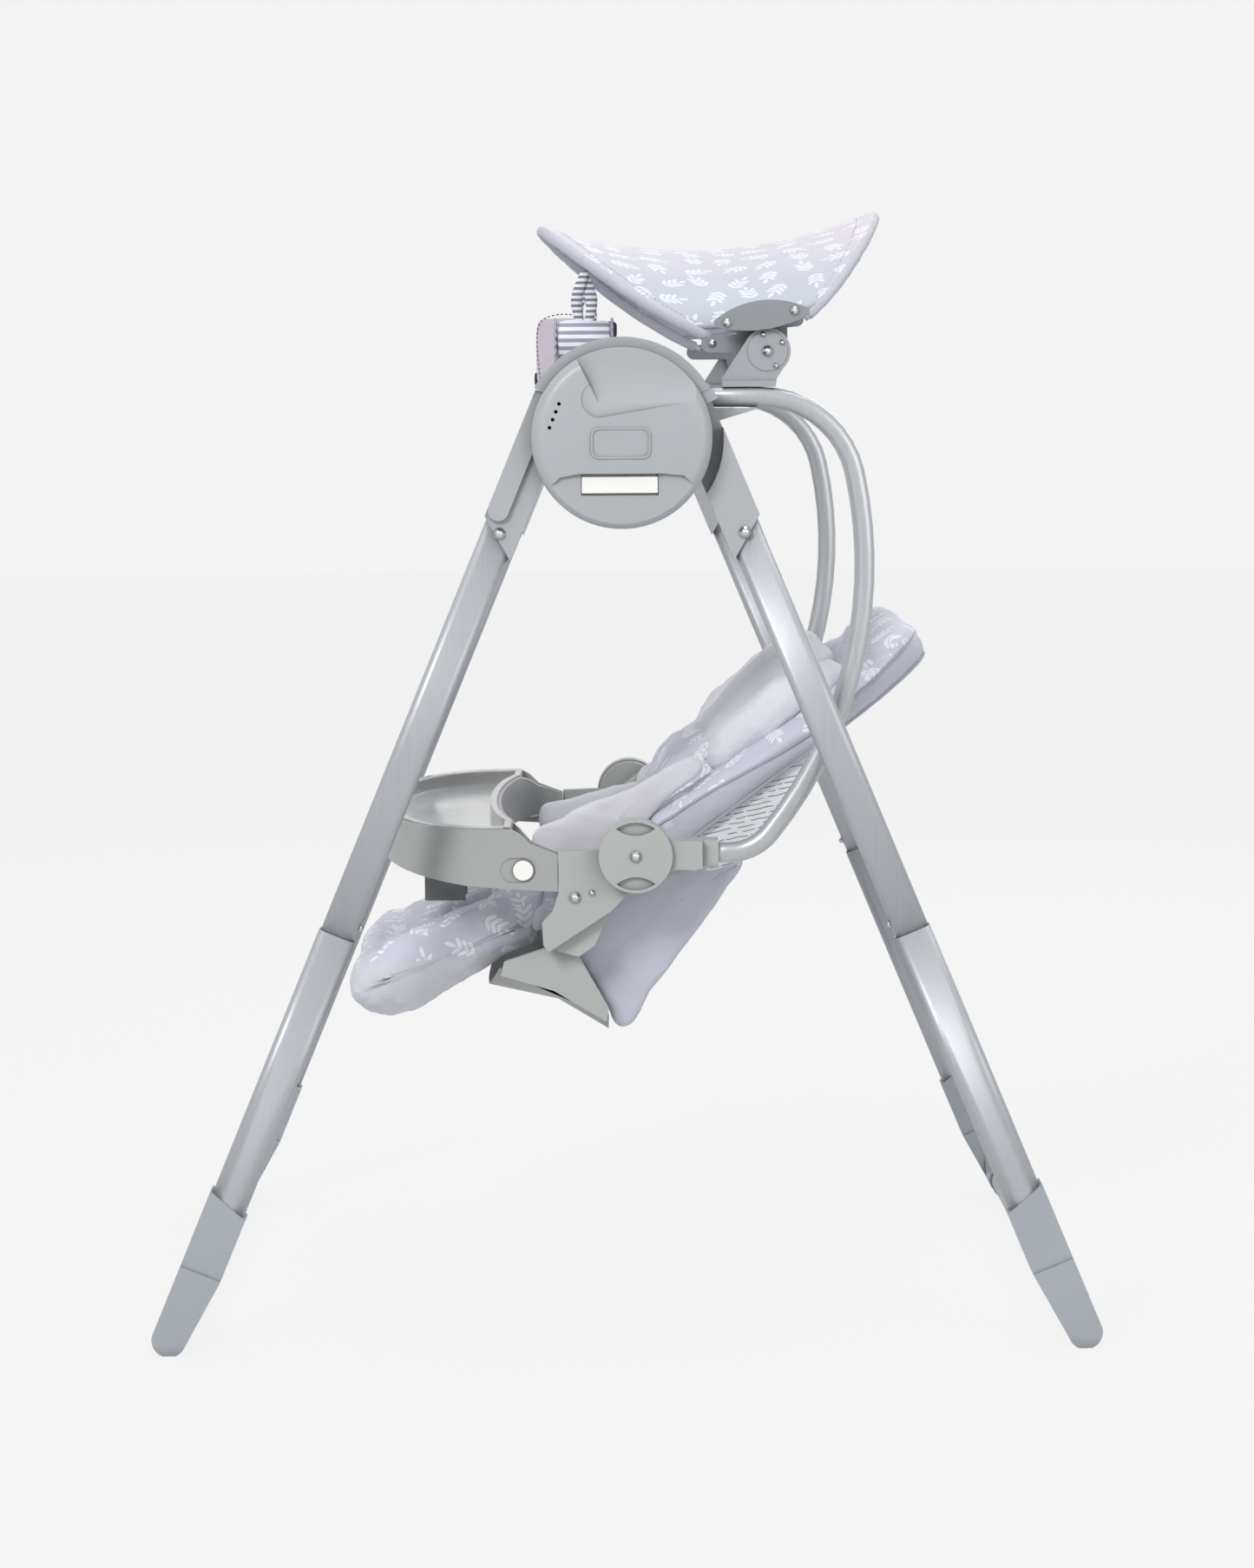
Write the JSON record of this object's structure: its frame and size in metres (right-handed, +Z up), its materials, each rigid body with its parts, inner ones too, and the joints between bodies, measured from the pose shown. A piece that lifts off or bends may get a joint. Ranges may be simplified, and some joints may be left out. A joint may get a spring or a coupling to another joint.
{
  "type": "baby swing",
  "caption": "Electric baby swing on an A-frame stand, with a reclining padded seat on curved arms, a tray bar, a canopy and hanging toys.",
  "frame": {"origin": "on the floor, under the swing axis, in the middle plane", "axes": "+X to the head end, +Y to the side of the baby's right hand, +Z up"},
  "size_m": [0.8268, 0.6612, 0.9958],
  "materials": {
    "leg_metal": "satin",
    "arm_metal": "satin",
    "foot_plastic": "satin",
    "hub_plastic": "satin",
    "seat_plastic": "satin",
    "bow_plastic": "satin",
    "white_plastic": "gloss",
    "bright_steel": "polished",
    "coil_copper": "satin",
    "dark_steel": "satin",
    "clear_plastic": "clear",
    "lilac_fabric": "woven",
    "canopy_cloth": "woven",
    "mesh_fabric": "woven",
    "strap_fabric": "woven",
    "striped_cloth": "woven",
    "book_cloth": "woven"
  },
  "bodies": {
    "stand": {"front_tube_left": "leg_metal", "front_tube_right": "leg_metal", "front_foot_left": "foot_plastic", "front_foot_right": "foot_plastic", "hub_housing_left": "hub_plastic", "hub_housing_right": "hub_plastic", "hub_cover_left": "hub_plastic", "hub_cover_right": "hub_plastic", "shaft_bushing_left": "white_plastic", "shaft_bushing_right": "white_plastic", "lever_spring_left": "bright_steel", "lever_spring_right": "bright_steel", "front_base_tube": "leg_metal", "drive_coil": "coil_copper", "battery_cells": "dark_steel", "front_fasteners": "bright_steel"},
    "lever_left": {"release_lever_left": "white_plastic"},
    "lever_right": {"release_lever_right": "white_plastic"},
    "rear_frame": {"rear_socket_left": "hub_plastic", "rear_socket_right": "hub_plastic", "rear_tube_left": "leg_metal", "rear_tube_right": "leg_metal", "rear_foot_left": "foot_plastic", "rear_foot_right": "foot_plastic", "rear_base_tube": "leg_metal", "rear_fasteners": "bright_steel"},
    "swing": {"swing_shaft_left": "bright_steel", "swing_shaft_right": "bright_steel", "arm_hub_left": "hub_plastic", "arm_hub_right": "hub_plastic", "arm_tube_left": "arm_metal", "arm_tube_right": "arm_metal", "recline_knob_left": "seat_plastic", "recline_knob_right": "seat_plastic", "canopy_stand_left": "hub_plastic", "canopy_stand_right": "hub_plastic", "arm_fasteners": "bright_steel", "drive_magnet": "dark_steel"},
    "seat": {"seat_side_left": "seat_plastic", "seat_side_right": "seat_plastic", "seat_shell": "seat_plastic", "back_tube": "arm_metal", "seat_pad": "lilac_fabric", "insert_pad": "mesh_fabric", "legrest_pad": "lilac_fabric", "seat_skirt": "lilac_fabric", "harness": "strap_fabric", "seat_fasteners": "bright_steel"},
    "tray": {"tray_bar": "seat_plastic", "tray_dish": "clear_plastic"},
    "tray_button_left": {"tray_button_left": "white_plastic"},
    "tray_button_right": {"tray_button_right": "white_plastic"},
    "canopy": {"canopy_bracket_left": "hub_plastic", "canopy_bracket_right": "hub_plastic", "canopy_bows": "bow_plastic", "canopy_fabric": "canopy_cloth", "canopy_fasteners": "bright_steel"},
    "ring_toy": {"ring_toy": "striped_cloth"},
    "cloth_book": {"cloth_book": "book_cloth"}
  },
  "joints": [
    {"name": "frame_fold", "type": "hinge", "parent": "stand", "child": "rear_frame", "pos_m": [0, 0, 0.791], "axis": [0, 1, 0], "range_deg": [0, 40]},
    {"name": "release_lever_left_slide", "type": "slide", "parent": "stand", "child": "lever_left", "axis": [0, 0, 1], "range_m": [0, 0.005], "stiffness_N_per_m": 600, "deforming": ["lever_spring_left"]},
    {"name": "release_lever_right_slide", "type": "slide", "parent": "stand", "child": "lever_right", "axis": [0, 0, 1], "range_m": [0, 0.005], "stiffness_N_per_m": 600, "deforming": ["lever_spring_right"]},
    {"name": "swing_axis", "type": "hinge", "parent": "stand", "child": "swing", "pos_m": [0, 0, 0.791], "axis": [0, 1, 0], "range_deg": [-14, 14]},
    {"name": "recline", "type": "hinge", "parent": "swing", "child": "seat", "pos_m": [0.01, 0, 0.43], "axis": [0, 1, 0], "range_deg": [-10, 12]},
    {"name": "tray_slide", "type": "slide", "parent": "seat", "child": "tray", "axis": [-1, 0, 0], "range_m": [0, 0.06]},
    {"name": "tray_button_left_press", "type": "slide", "parent": "tray", "child": "tray_button_left", "axis": [0, 1, 0], "range_m": [0, 0.003], "stiffness_N_per_m": 800},
    {"name": "tray_button_right_press", "type": "slide", "parent": "tray", "child": "tray_button_right", "axis": [0, -1, 0], "range_m": [0, 0.003], "stiffness_N_per_m": 800},
    {"name": "canopy_tilt", "type": "hinge", "parent": "swing", "child": "canopy", "pos_m": [0.126, 0, 0.864], "axis": [0, 1, 0], "range_deg": [-20, 20]},
    {"name": "ring_toy_swing", "type": "hinge", "parent": "canopy", "child": "ring_toy", "pos_m": [-0.03118, -0.15221, 0.94519], "axis": [-0.465, 0.8036, 0.3715], "range_deg": [-20, 20]},
    {"name": "cloth_book_swing", "type": "hinge", "parent": "canopy", "child": "cloth_book", "pos_m": [-0.03118, 0.15221, 0.94519], "axis": [0.465, 0.8036, -0.3715], "range_deg": [-20, 20]}
  ]
}
